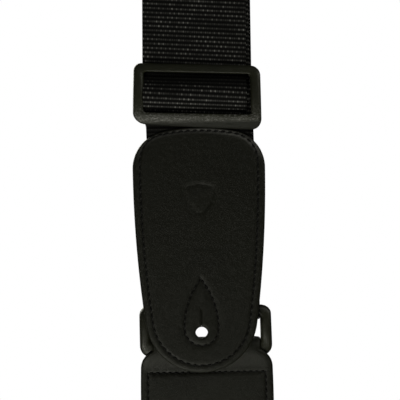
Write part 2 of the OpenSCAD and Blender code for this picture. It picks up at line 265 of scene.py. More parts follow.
def from_fold(n):
    """Distance from the fold's hinge, so that the ribs keep their pitch where the webbing pays out."""
    flat = n.scaled(n.add("TexCoord").outputs["Object"], (0.0, 1 / MM, 1 / MM))
    shifted = n.vector("ADD", flat, (0.0, 0.0, -FOLD_Z)).outputs[0]
    return n.vector("LENGTH", shifted).outputs["Value"]


def leather_material(name, base, rough, grain, nap=0.0, spec=0.33):
    """Leather: pebbled grain with painted shade in its hollows, pores, faint creases, and an edge that is
    burnished and scuffed by use.
    """
    n = Nodes(name)
    p = n.object_mm()
    warp = n.scaled(n.add("TexNoise", {"Vector": p, "Scale": 0.5}).outputs["Color"], (1.6,) * 3)
    warped = n.vector("ADD", p, warp).outputs[0]
    pebble = n.range(n.cells(warped, 1.25), 0.0, 0.22, 0.0, 1.0)
    fine = n.range(n.cells(warped, 3.2), 0.0, 0.2, 0.0, 1.0)
    pores = n.noise(p, 4.5, 4.0, 0.7)
    wide = n.noise(p, 0.06, 3.0, 0.6)
    crease = n.noise(n.scaled(warped, (0.35, 1.0, 1.3)), 0.35, 2.0)
    height = n.plus(n.times(fine, 0.3), pebble, 0.5)
    height = n.plus(height, pores, 0.35 + nap)
    height = n.plus(height, crease, 0.6)
    edge = n.attribute("edge")
    tone = n.mix(n.range(wide, 0.3, 0.7, 0.0, 1.0), olive(base * 0.85), olive(base * 1.15))
    # painted shade: the hollows between the pebbles are painted darker
    tone = n.mix(n.range(pebble, 0.0, 0.5, 0.45, 0.0), tone, olive(base * 0.5))
    tone = n.mix(n.times(edge, 0.5), tone, olive(base * 1.9))
    # painted highlight: a pale band on the rim where it catches the light
    rim_highlight = n.times(n.attribute("rim_highlight"), n.range(pores, 0.4, 0.6, 0.25, 1.0))
    tone = n.mix(rim_highlight, tone, grey(base * 28, 0.02))
    # painted shade in the seam grooves and the needle holes
    tone = n.mix(n.attribute("hole_shade"), tone, grey(base * 0.12))
    gloss = n.range(pores, 0.3, 0.7, rough - 0.06, rough + 0.08)
    return n.finish(
        Base_Color=tone,
        Roughness=n.plus(gloss, edge, -0.1),
        Normal=n.bump(height, grain, 0.75),
        Specular_IOR_Level=spec,
        Sheen_Weight=nap * 0.2,
    )


def thread_material():
    """Twisted sewing thread with a little fuzz."""
    n = Nodes("sewing_thread")
    along, around = weave_uv(n)[0:2]
    ply = n.wave(n.plus(n.times(around, 2.0), along, 3.5))
    fuzz = n.noise(n.object_mm(), 9.0, 3.0, 0.7)
    # painted shade: the grooves between the thread's plies are painted darker
    return n.finish(
        Base_Color=n.mix(ply, grey(0.001), grey(0.0035, 0.02)),
        Roughness=n.range(fuzz, 0.3, 0.7, 0.4, 0.6),
        Normal=n.bump(n.plus(ply, fuzz, 0.3), 0.09, 0.9),
        Specular_IOR_Level=0.2,
    )


def plastic_material(name, base, rough, highlight_band=None):
    """Moulded plastic: a fine spark-eroded texture, polished by use, with faint scratches. The last argument
    is a pair of heights between which pale patches fade out: scuffs, and a painted highlight. Below the
    first it is duller and painted darker: painted shade."""
    n = Nodes(name)
    p = n.object_mm()
    spark = n.noise(p, 5.0, 4.0, 0.65)
    wide = n.noise(p, 0.09)
    drawn = n.noise(n.scaled(p, (0.12, 1.0, 2.2)), 1.6, 2.0, 0.6)
    scratch = n.range(drawn, 0.56, 0.6, 0.0, 1.0)
    tone = n.mix(n.range(wide, 0.35, 0.7, 0.0, 1.0), olive(base * 0.8), olive(base * 1.25))
    gloss = n.range(spark, 0.3, 0.7, rough - 0.05, rough + 0.07)
    if highlight_band:
        z = n.add("SeparateXYZ", {0: p}).outputs[2]
        # pale patches: scuffs, and a painted highlight where the lower bar catches the light
        patches = n.noise(n.scaled(p, (0.7, 1.0, 1.4)), 1.2, 4.0, 0.8)
        pale_highlight = n.times(n.range(patches, 0.52, 0.6, 0.0, 1.0), n.range(z, *highlight_band, 1.0, 0.0))
        # painted shade: below the band the plastic is painted darker, and made duller
        under = n.range(z, highlight_band[0] - 2.2, highlight_band[0] - 0.6, 1.0, 0.0)
        pale_highlight = n.plus(pale_highlight, n.times(pale_highlight, under), -0.8)
        tone = n.mix(pale_highlight, tone, grey(base * 9, 0.04))
        tone = n.mix(under, tone, olive(base * 0.5))
        gloss = n.plus(gloss, under, 0.3)
    return n.finish(
        Base_Color=tone,
        Roughness=n.plus(gloss, scratch, 0.1),
        Normal=n.bump(n.plus(spark, scratch, -0.25), 0.1, 0.8),
        Specular_IOR_Level=0.5,
    )


# from behind the slider's lower bar down to the tab, the neck's painted glints fade out and its crowns are
# painted darker
NECK_DIMMED = (FOLD_Z - SLIDER_Z + 11.0, FOLD_Z - SLIDER_Z + 15.0)
WEBBING = webbing_material("webbing", along_webbing)
WEBBING_PAID_OUT = webbing_material("webbing_paid_out", from_fold, 1.5, NECK_DIMMED)
LEATHER = leather_material("face_leather", 0.0075, 0.44, 0.1)
LINING = leather_material("lining_leather", 0.012, 0.6, 0.12, 0.35, 0.3)
THREAD = thread_material()
# the slider's lower bar carries pale patches with a painted highlight, and painted shade below them
SLIDER_PLASTIC = plastic_material("slider_plastic", 0.018, 0.36, (SLIDER_Z - 12.0, SLIDER_Z - 3.0))
RING_PLASTIC = plastic_material("ring_plastic", 0.018, 0.38)

# ---- the strap's own line, from the front tab to the sewn end ----

WEAVE_HALF = 12.0  # half the height in which the webbing goes through the slider
BULGE, BULGE_HALF = 5.15, 11.0  # how far it stands out over the slider's middle bar
DIP = 4.75  # how far the inner strand comes forward to go round that bar
BAR_Y, LOOP_Y, TAIL_Y = -5.6, 7.75, -1.35
LOOP_R = LOOP_Y + BAR_Y
TURN_R = RING_R + 0.25 + WEB_T / 2


def ease(t):
    t = min(1.0, max(0.0, t))
    return t * t * (3 - 2 * t)


def near_bar(z):
    """1 at the height of the slider's middle bar, easing to 0 above and below it."""
    return ease(1 - (abs(z) - 2.0) / 7.6)


def arc(cx, cy, r, a0, a1, n):
    a = np.radians(np.linspace(a0, a1, n + 1))
    return np.stack([cx + r * np.cos(a), cy + r * np.sin(a)], 1)


def eased(y, r, down):
    """Where a strand leaves the fold at the fold's own width and draws in to its plane."""
    z = np.linspace(FOLD_Z, STRAIGHT_Z, 41) if down else np.linspace(STRAIGHT_Z, FOLD_Z, 41)
    span = FOLD_Z - STRAIGHT_Z
    return [(math.copysign(abs(y) + (r - abs(y)) * ease(1 - (FOLD_Z - k) / span), y), k) for k in z]


def parting(y, turn_y, zs):
    """Where a back strand draws away from its plane to go round the ring's top bar."""
    return [(y + (turn_y - y) * ease((RING_TOP + 40 - z) / 34), z) for z in zs]


line, marks = [], {}


def go(points, mark=None):
    """Take the line on through some (y, z) points, and name the place that it has reached."""
    for p in points:
        if not line or math.dist(line[-1], p) > 1e-4:
            line.append((float(p[0]), float(p[1])))
    if mark:
        marks[mark] = len(line) - 1


go([(-OUTER_Y, bottom("webbing_tab_tongue"))], "tongue")
go([(-OUTER_Y, bottom("webbing_neck"))], "neck_low")
go([(-OUTER_Y, SLIDER_Z - WEAVE_HALF)], "weave_low")
for z in np.linspace(-WEAVE_HALF, WEAVE_HALF, 97):
    forward = BULGE * max(0.0, 1 - (z / BULGE_HALF) ** 2) ** 2
    go([(-OUTER_Y - forward, SLIDER_Z + z)], "weave_top")
go(eased(-OUTER_Y, R_OUTER, False), "fold_a")
go(arc(0, FOLD_Z, R_OUTER, 180, 0, 60), "fold_b")
go(eased(OUTER_Y, R_OUTER, True), "back_straight")
go(parting(OUTER_Y, RING_Y + TURN_R, np.linspace(RING_TOP + 40, RING_TOP, 41)))
go(arc(RING_Y, RING_TOP, TURN_R, 0, -90, 20), "turn")
go(arc(RING_Y, RING_TOP, TURN_R, -90, -180, 20))
go(parting(INNER_Y, RING_Y - TURN_R, np.linspace(RING_TOP, RING_TOP + 40, 41)))
go(eased(INNER_Y, R_INNER, False), "fold_c")
go(arc(0, FOLD_Z, R_INNER, 0, 180, 50), "fold_d")
go(eased(-INNER_Y, R_INNER, True))
go([(-INNER_Y, top("webbing_end_loop"))], "inner_low")
go([(-INNER_Y - DIP * near_bar(z), SLIDER_Z + z) for z in np.linspace(12, 2, 41)])
go(arc(BAR_Y, SLIDER_Z - 0.6 - WEB_W / 2 * math.tan(SLIDER_TILT), LOOP_R, 180, 360, 24))
tail_in = BAR_Y + LOOP_R - TAIL_Y
go([(TAIL_Y + tail_in * near_bar(z), SLIDER_Z + z) for z in np.linspace(2, 9.6, 31)])
go([(TAIL_Y, top("webbing_end_loop"))], "tail")

LINE = np.array(line)
REACH = np.concatenate([[0], np.cumsum(np.hypot(*np.diff(LINE, axis=0).T))])
STEP = PITCH / 4
SKEW = math.tan(math.radians(3.6))  # the ribs lie a little askew across the webbing


def at(mark):
    return REACH[marks[mark]]


def at_z(z, after, before):
    """Arc length where the line passes height z between two marks."""
    part = slice(marks[after], marks[before] + 1)
    order = np.argsort(LINE[part, 1])
    return float(np.interp(z, LINE[part, 1][order], REACH[part][order]))


# sideways place of the strip: in line with the front tab, to the left through and above the slider,
# across the fold, and down the back from the left to the right
front_places = [
    (at("neck_low") - 2, 0.0),
    (at("weave_low") - 3.5, -0.2),
    (at("weave_low") + 1.5, -1.4),
    (at("weave_top") + 5, -1.4),
    (at("weave_top") + 35, -1.0),
    (at("weave_top") + 120, -0.5),
    (at("fold_a") - 45, 0.0),
]
back_places = [(-230, -0.7), (-290, -0.7), (-330, 0.1), (-380, 1.3)]
SHIFT = [(s, X_FRONT + x) for s, x in front_places]
SHIFT += [(at("fold_b") + 45, X_BACK)]
SHIFT += [(at_z(z, "back_straight", "turn"), X_BACK + x) for z, x in back_places]
SHIFT += [(at_z(z, "turn", "fold_c"), X_BACK + x) for z, x in back_places[::-1]]
SHIFT += [(at("fold_c") - 45, X_BACK), (at("fold_d") + 45, X_FRONT), (at("inner_low"), X_FRONT - 0.6)]
SHIFT += [(at("inner_low") + 12, SLIDER_X), (REACH[-1], SLIDER_X)]
SHIFT_S, SHIFT_X = np.array(SHIFT).T


def point_on_line(s):
    """(y, z) at arc lengths s. Past either end the line goes straight on."""
    y, z = np.interp(s, REACH, LINE[:, 0]), np.interp(s, REACH, LINE[:, 1])
    for past, end, inner in ((-s, 0, 1), (s - REACH[-1], -1, -2)):
        d = (LINE[end] - LINE[inner]) / np.linalg.norm(LINE[end] - LINE[inner])
        y = np.where(past > 0, LINE[end, 0] + past * d[0], y)
        z = np.where(past > 0, LINE[end, 1] + past * d[1], z)
    return y, z


def on_line(s):
    """(y, z) and the outward normal of the strap's line at arc lengths s."""
    (ya, za), (yb, zb) = point_on_line(s - 0.35), point_on_line(s + 0.35)
    y, z = point_on_line(s)
    size = np.hypot(yb - ya, zb - za)
    return y, z, -(zb - za) / size, (yb - ya) / size


def make_object(name, verts, faces, mat, smooth=True, sharp=None):
    mesh = bpy.data.meshes.new(name)
    mesh.from_pydata(np.asarray(verts, float).tolist(), [], faces)
    mesh.update()
    if smooth:
        mesh.shade_smooth()
    if sharp:
        mesh.set_sharp_from_angle(angle=math.radians(sharp))
    mesh.materials.append(mat)
    ob = bpy.data.objects.new(name, mesh)
    scene.collection.objects.link(ob)
    return ob


def give_uv(ob, uv):
    layer = ob.data.uv_layers.new(name="weave")
    index = np.empty(len(ob.data.loops), np.int32)
    ob.data.loops.foreach_get("vertex_index", index)
    layer.data.foreach_set("uv", np.asarray(uv, np.float32)[index].ravel())


def quads(a, b, c, d):
    return np.stack([a.ravel(), b.ravel(), c.ravel(), d.ravel()], 1).tolist()


def strip(name, a, b, mat, yarns, ribs):
    """A length of webbing along the strap's line, with its ribs and yarns as real shape."""
    first, last = round(a / STEP), round(b / STEP)
    steps = np.arange(first, last + 1)
    rows = first * STEP + STEP * np.arange(last - first + 1)
    half = WEB_W / 2
    middle_xs = np.linspace(-half + 0.75, half - 0.75, yarns)
    xs = np.concatenate([[-half, -half + 0.22], middle_xs, [half - 0.22, half]])
    cols = len(xs)
    s = rows[:, None] - SKEW * xs[None, :]
    y, z, normal_y, normal_z = on_line(s)
    shift = np.interp(s, SHIFT_S, SHIFT_X)
    profile = np.array([0.0, 0.78, 1.0, 0.78])[steps % 4][:, None]
    over = ((steps // 4)[:, None] + np.arange(cols)[None, :]) % 2
    edge = np.ones(cols)
    edge[[0, -1]], edge[[1, -2]] = 0.0, 0.45
    flat = WEB_T / 2 - ribs * edge
    flat[[0, -1]], flat[[1, -2]] = 0.28, WEB_T / 2 - 0.16
    verts = []
    for side, low in ((1, over), (-1, 1 - over)):
        off = side * (flat[None, :] + profile * (1 - 0.34 * low) * ribs * edge)
        place = [xs[None, :] + shift, y + off * normal_y, z + off * normal_z]
        verts.append(np.stack(place, 2).reshape(-1, 3))
    g = np.arange(len(rows) * cols).reshape(len(rows), cols)
    h = g + g.size
    faces = quads(g[:-1, :-1], g[:-1, 1:], g[1:, 1:], g[1:, :-1])
    faces += quads(h[:-1, :-1], h[1:, :-1], h[1:, 1:], h[:-1, 1:])
    faces += quads(g[:-1, -1], h[:-1, -1], h[1:, -1], g[1:, -1])
    faces += quads(g[:-1, 0], g[1:, 0], h[1:, 0], h[:-1, 0])
    faces += quads(g[-1, :-1], g[-1, 1:], h[-1, 1:], h[-1, :-1])
    faces += quads(g[0, :-1], h[0, :-1], h[0, 1:], g[0, 1:])
    ob = make_object(name, np.concatenate(verts) * MM, faces, mat)
    u = np.broadcast_to((xs + half) / WEB_W, s.shape)
    v = np.broadcast_to(rows[:, None] / WEB_W, s.shape)
    give_uv(ob, np.concatenate([np.stack([u, v], 2).reshape(-1, 2)] * 2))
    return ob, float(rows[-1] - rows[0])


def webbing(name, a, b, yarns, nodes, moves, mat=WEBBING, ribs=0.26):
    """One piece of the webbing. moves is the body that it rides on. When it is a list of bodies, each with a
    (y, z), that list is not used and the piece stays fixed where it is built."""
    ob, length = strip(name, a, b, mat, yarns, ribs)
    if isinstance(moves, str):
        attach(ob, moves)
    else:
        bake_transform(ob)
    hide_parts(*nodes)


neck_low = at_z(bottom("webbing_neck"), "tongue", "weave_low")
neck_top = at_z(SLIDER_Z - 11.4, "neck_low", "weave_top")
turn_a = at_z(top("webbing_ring_turn"), "back_straight", "turn")
turn_b = at_z(top("webbing_ring_turn"), "turn", "fold_c")
NEAR_FOLD, NEAR_TURN = FOLD_Z - 2.5, top("webbing_ring_turn") + 2

webbing("webbing_in_front_tab", 0, neck_low, 12, ["webbing_tab_tongue"], "front_half",
        ribs=0.1)
webbing("webbing_neck_below_slider", neck_low, neck_top, 46, ["webbing_neck"],
        [("front_half", -OUTER_Y, bottom("webbing_neck") + 3), ("slider", -OUTER_Y, SLIDER_Z - 12.5)],
        WEBBING_PAID_OUT, 0.0)

# above its middle, the webbing over the slider's bar loses its painted glints and its crowns are painted
# darker: painted shade where it turns up away from the light
dimmed_span = (at_z(SLIDER_Z + 2.5, "weave_low", "weave_top"), at_z(SLIDER_Z + 5.5, "weave_low", "weave_top"))
over_bar = webbing_material("webbing_over_slider_bar", along_webbing, dimmed_span=dimmed_span)
webbing("webbing_through_slider", neck_top, at("weave_top"), 46, ["webbing_slider_weave"],
        "slider", over_bar)

webbing("webbing_front_outer_strand", at("weave_top"), at("fold_a"), 46,
        ["webbing_front_outer", "webbing_front_top"],
        [("front_half", -OUTER_Y, NEAR_FOLD), ("slider", -OUTER_Y, SLIDER_Z + WEAVE_HALF + 1)])
webbing("webbing_fold_outer_layer", at("fold_a"), at("fold_b"), 46, ["webbing_shoulder_fold"],
        [("back_half", R_OUTER - 0.2, FOLD_Z), ("front_half", 0.2 - R_OUTER, FOLD_Z)])
webbing("webbing_back_outer_strand", at("fold_b"), turn_a, 24,
        ["webbing_back_outer", "webbing_back_top"],
        [("back_half", OUTER_Y, NEAR_FOLD), ("ring_turn", OUTER_Y, NEAR_TURN)])
webbing("webbing_round_ring", turn_a, turn_b, 46, ["webbing_ring_turn"], "ring_turn")
webbing("webbing_back_inner_strand", turn_b, at("fold_c"), 16, ["webbing_back_inner"],
        [("back_half", INNER_Y, NEAR_FOLD), ("ring_turn", INNER_Y, NEAR_TURN)])
webbing("webbing_fold_inner_layer", at("fold_c"), at("fold_d"), 24, ["webbing_shoulder_fold"],
        [("back_half", R_INNER - 0.15, FOLD_Z), ("front_half", 0.15 - R_INNER, FOLD_Z)])
webbing("webbing_front_inner_strand", at("fold_d"), at("inner_low"), 16, ["webbing_front_inner"],
        [("front_half", -INNER_Y, NEAR_FOLD), ("slider", -INNER_Y, top("webbing_end_loop") + 2.5)])
webbing("webbing_end_round_slider_bar", at("inner_low"), at("tail"), 24, ["webbing_end_loop"],
        "slider")

# ---- outlines of the leather tabs, as (x, z). d is how far inside the edge an outline runs ----

HALF, SIDE_R, TIP_R = 32.0, 560.0, 27.15
TIP_A = math.degrees(math.acos((SIDE_R - HALF) / (SIDE_R - TIP_R)))
TIP_DROP = (SIDE_R - HALF) * math.tan(math.radians(TIP_A))
FRONT_TIP, REAR_TIP = bottom("front_tab_face"), bottom("rear_tab_face")
FRONT_WIDE, REAR_WIDE = FRONT_TIP + TIP_DROP + TIP_R, REAR_TIP + TIP_DROP + TIP_R
CORNER, CROWN = 18.0, 19.6
REAR_CORNER, REAR_UP, REAR_NECK_HALF = 11.0, 16.6, 26.0
REAR_A = math.degrees(math.asin(REAR_UP / (SIDE_R - REAR_CORNER)))
REAR_X = HALF - SIDE_R + (SIDE_R - REAR_CORNER) * math.cos(math.radians(REAR_A))
REAR_NECK_A = math.degrees(math.acos((REAR_NECK_HALF - REAR_X) / REAR_CORNER))
REAR_WIDER = 1.016
HOLE_UP, HOLE_R, SLIT = 19.7, 3.0, 7.0
CROSS_Z = RING_LOW - 12
SEAM = 3.55  # from the edge to the edge seam


def flank(wide, d, start=0):
    """One side of a tab, from its widest height down to the tip."""
    side = arc(HALF - SIDE_R, wide, SIDE_R - d, start, -TIP_A, 60)
    return np.concatenate([side, arc(0, wide - TIP_DROP, TIP_R - d, -TIP_A, -90, 40)[1:]])


def both(half):
    """A half outline, top to tip, and its mirror image back up to the top."""
    return np.concatenate([half, half[-2::-1] * [-1, 1]])


def crowned(x, z, up, corner, d):
    """From the middle of a shallow crown to the end of the corner beside it."""
    rise = up - corner
    r = (x**2 + up**2 - corner**2) / (2 * rise)
    a = math.degrees(math.atan2(r - up, x))
    return np.concatenate([arc(0, z + up - r, r - d, 90, a, 16), arc(x, z, corner - d, a, 0, 24)[1:]])


def front_loop(d):
    crown = crowned(HALF - CORNER, FRONT_WIDE, CROWN, CORNER, d)
    return both(np.concatenate([crown, flank(FRONT_WIDE, d)[1:]]))[:-1]


def front_seam(d):
    """The front tab's edge seam: nearer the edge round the crown than along the sides."""
    crown = crowned(HALF - SEAM - 13.0, FRONT_WIDE + 3.6, 14.3, 13.0, d)
    return both(np.concatenate([crown, flank(FRONT_WIDE, SEAM + d)]))[:-1]


def rear_side(d):
    corner = arc(REAR_X, REAR_WIDE + REAR_UP, REAR_CORNER - d, REAR_NECK_A, REAR_A, 20)
    return np.concatenate([corner, flank(REAR_WIDE, d, REAR_A)[1:]])


def teardrop(z, d=0.35):
    half, rise, apex = 8.6, 1.6, 26.3
    r = (half**2 + (apex - rise) ** 2) / (2 * half)
    top_a = math.degrees(math.acos((r - half) / (r - d)))
    side = [arc(half - r, z + rise, r - d, top_a, 0, 24), arc(0, z + rise, half - d, 0, -90, 16)[1:]]
    return both(np.concatenate(side))[:-1]


def keyhole(z, aside=0.0):
    """The button hole and its slit, cut as one outline. aside shifts the slit's end."""
    w = 0.035
    a = math.degrees(math.asin(w / HOLE_R))
    ring = arc(0, z, HOLE_R, 90 - a, -270 + a, 40)
    steps = np.linspace(ring[-1][1], z + HOLE_R + SLIT, 12)[1:]
    drift = aside * np.clip((steps - ring[-1][1]) / 0.8, 0, 1)
    left, right = np.stack([drift - w, steps], 1), np.stack([drift + w, steps], 1)
    return np.concatenate([ring, left, [[aside, z + HOLE_R + SLIT + 0.3]], right[::-1]])


def plectrum(z, size):
    """A plain plectrum shape: a rounded triangle, point down."""
    a = np.linspace(0, 2 * math.pi, 61)[:-1]
    down = a + math.pi / 2
    r = size * (1 + 0.13 * np.cos(3 * down) + 0.05 * np.cos(6 * down))
    return np.stack([r * np.cos(a) * 0.98, z + r * np.sin(a) * 1.04], 1)


# ---- leather and stitches ----


def resample(p, step, closed=True):
    q = np.concatenate([p, p[:1]]) if closed else np.asarray(p)
    s = np.concatenate([[0], np.cumsum(np.hypot(*np.diff(q, axis=0).T))])
    t = np.linspace(0, s[-1], max(2, round(s[-1] / step)) + 1)
    out = np.stack([np.interp(t, s, q[:, 0]), np.interp(t, s, q[:, 1])], 1)
    return out[:-1] if closed else out


def distance(p, lines):
    """Distance from each point to the nearest of some (line, closed) pairs."""
    best = np.full(len(p), 1e9)
    for q, closed in lines:
        a, b = (q, np.roll(q, -1, 0)) if closed else (q[:-1], q[1:])
        d = b - a
        for i in range(0, len(p), 2000):
            w = p[i : i + 2000, None, :] - a[None]
            t = np.clip((w * d).sum(2) / np.maximum((d * d).sum(1), 1e-12), 0, 1)
            away = np.linalg.norm(w - t[..., None] * d[None], axis=2).min(1)
            best[i : i + 2000] = np.minimum(best[i : i + 2000], away)
    return best


def nearest(p, points):
    return np.array([np.hypot(*(points - q).T).min() for q in p])


def inside(p, loop):
    x, z = p[:, 0], p[:, 1]
    hit = np.zeros(len(p), bool)
    for (x0, z0), (x1, z1) in zip(loop, np.roll(loop, -1, 0)):
        if z0 != z1:
            hit ^= ((z0 > z) != (z1 > z)) & (x < x0 + (z - z0) * (x1 - x0) / (z1 - z0))
    return hit


def in_leather(p, loops):
    """Inside the outline, which is the first loop, and outside the holes, which are the others."""
    hit = inside(p, loops[0])
    for hole in loops[1:]:
        hit &= ~inside(p, hole)
    return hit


def dip(away, width):
    return np.exp(-((away / width) ** 2))


class Seam:
    """A seam's path, its stitches as (middle, direction, length), and the holes between them."""

    def __init__(self, path, pitch, closed=True):
        self.line = (path, closed)
        self.holes = resample(path, pitch, closed)
        after = np.roll(self.holes, -1, 0) if closed else self.holes[1:]
        before = self.holes if closed else self.holes[:-1]
        lengths = np.linalg.norm(after - before, axis=1)
        self.stitches = list(zip((before + after) / 2, (after - before) / lengths[:, None], lengths))


def triangles(loops, guides):
    """A flat mesh of some leather: points along the guides, and a loose grid elsewhere."""
    grid = 2.1
    outline = loops[0]
    verts = np.concatenate(loops).tolist()
    edges, k = [], 0
    for loop in loops:
        edges += [(k + i, k + (i + 1) % len(loop)) for i in range(len(loop))]
        k += len(loop)
    xs = np.arange(-HALF, HALF, grid)
    zs = np.arange(outline[:, 1].min(), outline[:, 1].max(), grid * 0.87)
    loose = np.array([(x + (row % 2) * grid / 2, z) for row, z in enumerate(zs) for x in xs])
    loose = loose + np.random.default_rng(3).uniform(-0.25, 0.25, loose.shape) * grid
    loose = loose[inside(loose, outline)]
    loose = loose[nearest(loose, np.concatenate(guides + loops)) > grid * 0.55]
    pts = np.concatenate(guides + [loose])
    pts = pts[in_leather(pts, loops)]
    pts = pts[distance(pts, [(loop, True) for loop in loops]) > 0.07]
    out = delaunay_2d_cdt([Vector(v) for v in verts + pts.tolist()], edges, [], 0, 1e-5)
    flat = np.array([tuple(v) for v in out[0]])
    tris = np.array([f for f in out[2] if len(f) == 3])
    tris = tris[in_leather(flat[tris].mean(1), loops)]
    ab, ac = flat[tris[:, 1]] - flat[tris[:, 0]], flat[tris[:, 2]] - flat[tris[:, 0]]
    area = ab[:, 0] * ac[:, 1] - ab[:, 1] * ac[:, 0]
    tris[area < 0] = tris[area < 0][:, ::-1]
    tris = tris[np.abs(area) > 1e-9]
    used, tris = np.unique(tris, return_inverse=True)
    return flat[used], tris.reshape(-1, 3)


def leather(name, node, body, mat, outline, hole, seams, guides, place, t, rim=0.55, mark=None, pale_highlight=None):
    """A cut of leather as a closed solid. Its face falls to a rounded rim outside the seam, the seams lie in
    sunken grooves with a hole at each stitch's end, both painted darker as shade, and the edge is burnished.
    mark is a shape that is stamped into it. The last argument gives how strong a painted highlight on the
    rim is at each point. Its slot has the material's name."""
    loops = [resample(outline, 0.9), hole]
    flat, tris = triangles(loops, guides)
    n = len(flat)
    d = distance(flat, [(loops[0], True)])
    r = 0.75
    h = -rim * (1 - np.clip(d / (SEAM - 0.4), 0, 1)) ** 1.6
    h -= np.where(d < r, r - np.sqrt(np.maximum(r * r - (r - np.minimum(d, r)) ** 2, 0)), 0)
    hole_shade = np.zeros(n)
    for seam in seams:
        to_seam, to_hole = distance(flat, [seam.line]), nearest(flat, seam.holes)
        h -= 0.3 * dip(to_seam, 0.55) + 0.3 * dip(to_hole, 0.42)
        # painted shade in the seam's grooves and needle holes
        hole_shade += 0.28 * dip(to_seam, 0.4) + 0.8 * dip(to_hole, 0.45)
    to_hole = distance(flat, [(hole, True)])
    h += 0.1 * dip(to_hole - 1.1, 0.6) - 0.4 * dip(to_hole, 0.35)
    if mark is not None:
        h -= 0.2 * dip(distance(flat, [(mark, True)]), 0.32) + 0.07 * inside(flat, mark)
    swell = np.sin(flat[:, 0] * 0.21 + 1) * np.sin(flat[:, 1] * 0.13) * np.clip(d / 6, 0, 1)
    h += 0.07 * swell - 0.07
    under = np.where(d < 0.3, 0.25 * (1 - d / 0.3), 0)
    face = place(flat[:, 0], flat[:, 1], t / 2 + h)
    back = place(flat[:, 0], flat[:, 1], under - t / 2)
    around = {(f[i], f[(i + 1) % 3]) for f in tris.tolist() for i in range(3)}
    faces = tris.tolist() + (tris[:, ::-1] + n).tolist()
    faces += [[a, a + n, b + n, b] for a, b in sorted(around) if (b, a) not in around]
    ob = make_object(name, np.concatenate([face, back]) * MM, faces, mat, sharp=50)
    # painted highlight on the rim
    rim_highlight = dip(d - 1.5, 0.9) * pale_highlight(flat) if pale_highlight else np.zeros(n)
    layers = (("edge", dip(d, 0.9), 1.0), ("hole_shade", np.clip(hole_shade, 0, 1), 0.0), ("rim_highlight", rim_highlight, 0.0))
    for label, on_face, on_back in layers:
        values = np.concatenate([on_face, np.full(n, on_back)]).astype(np.float32)
        ob.data.attributes.new(label, "FLOAT", "POINT").data.foreach_set("value", values)
    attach(ob, body)
    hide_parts(node)


def tube_faces(start, rings, sides):
    """The faces of a closed tube whose vertices go round ring after ring."""
    faces = []
    for i in range(rings - 1):
        for j in range(sides):
            a, b = start + i * sides + j, start + i * sides + (j + 1) % sides
            faces.append([a, b, b + sides, a + sides])
    faces.append([start + j for j in range(sides)][::-1])
    faces.append([start + (rings - 1) * sides + j for j in range(sides)])
    return faces


def turned(v, degrees):
    c, s = math.cos(math.radians(degrees)), math.sin(math.radians(degrees))
    return v[0] * c - v[1] * s, v[0] * s + v[1] * c


def stitches(name, node, body, runs, place, surface, r=0.36, rise=0.16):
    """Rows of separate stitches: each is a thread that rises from one hole and dives into the next."""
    rings, sides, share, lean = 9, 8, 0.74, 4.0
    verts, faces, uvs = [], [], []
    for middle_, tangent, pitch in (stitch for run in runs for stitch in run):
        tx, tz = turned(tangent, lean)
        faces += tube_faces(len(verts), rings, sides)
        for u in np.linspace(-1, 1, rings):
            along = u * pitch * share / 2
            deep = abs(u) ** 2.6
            thick = r * (1 - 0.5 * deep)
            for a in np.arange(sides) * 2 * math.pi / sides:
                side = thick * math.cos(a)
                off = surface + rise * (1 - deep) - 0.5 * deep + thick * math.sin(a)
                verts.append((middle_[0] + tx * along - tz * side, middle_[1] + tz * along + tx * side, off))
                uvs.append((u * 0.5 + 0.5, a / (2 * math.pi)))
    ob = make_object(name, place(*np.array(verts).T) * MM, faces, THREAD)
    outward_normals(ob)
    give_uv(ob, uvs)
    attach(ob, body)
    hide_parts(node)


def outward_normals(ob):
    bm = bmesh.new()
    bm.from_mesh(ob.data)
    bmesh.ops.recalc_face_normals(bm, faces=bm.faces)
    bm.to_mesh(ob.data)
    bm.free()


def facing_front(x0, y):
    return lambda x, z, off: np.stack([x0 + x, y - off, z + 0 * x], 1)


def facing_back(x0, y, wider=1.0):
    return lambda x, z, off: np.stack([x0 - x * wider, y + off, z + 0 * x], 1)


RIM_GUIDES = ((0.1, 0.9), (0.28, 0.9), (0.55, 1.0), (0.9, 1.1))  # depth, and step along it
SEAM_GUIDES = ((-0.7, 0.85), (-0.32, 0.6), (0, 0.45), (0.32, 0.6), (0.7, 0.85), (1.7, 1.5))


def guide_loops(loop_at, seam_at, closed=True, up_to=math.inf):
    """Rings of points that follow an outline, close together at the rim and at the seam."""
    found = [resample(loop_at(d), step, closed) for d, step in RIM_GUIDES]
    found += [resample(seam_at(d), step, closed) for d, step in SEAM_GUIDES]
    return [q[q[:, 1] < up_to] for q in found]


def near_line(q, closed, steps=((0.0, 0.45), (0.32, 0.6), (0.7, 0.9))):
    """Points along a line and beside it, both ways."""
    found = []
    for off, step in steps:
        p = resample(q, step, closed)
        tangent = np.gradient(p, axis=0)
        across = np.stack([-tangent[:, 1], tangent[:, 0]], 1)
        across /= np.maximum(np.linalg.norm(tangent, axis=1), 1e-9)[:, None]
        found += [p + off * across, p - off * across] if off else [p]
    return found


def near_hole(z):
    rings = ((0.2, 44), (0.45, 44), (0.85, 40), (1.3, 36), (1.9, 34))
    found = [arc(0, z, HOLE_R + out, 0, 360, count)[:-1] for out, count in rings]
    slit = np.array([[0, z + HOLE_R + 0.4], [0, z + HOLE_R + SLIT + 0.3]])
    return found + near_line(slit, False, ((0.42, 0.6), (0.7, 0.7), (1.15, 1.0)))


STITCH_SINK = 0.34  # how deep a stitch's middle lies in the leather
ON_FACE, ON_BACKING = FACE_T / 2 - STITCH_SINK, BACKING_T / 2 - STITCH_SINK
EDGE_PITCH, CROSS_PITCH, DROP_PITCH, BOX_PITCH = 3.4, 3.0, 3.2, 2.8

# ---- front tab ----

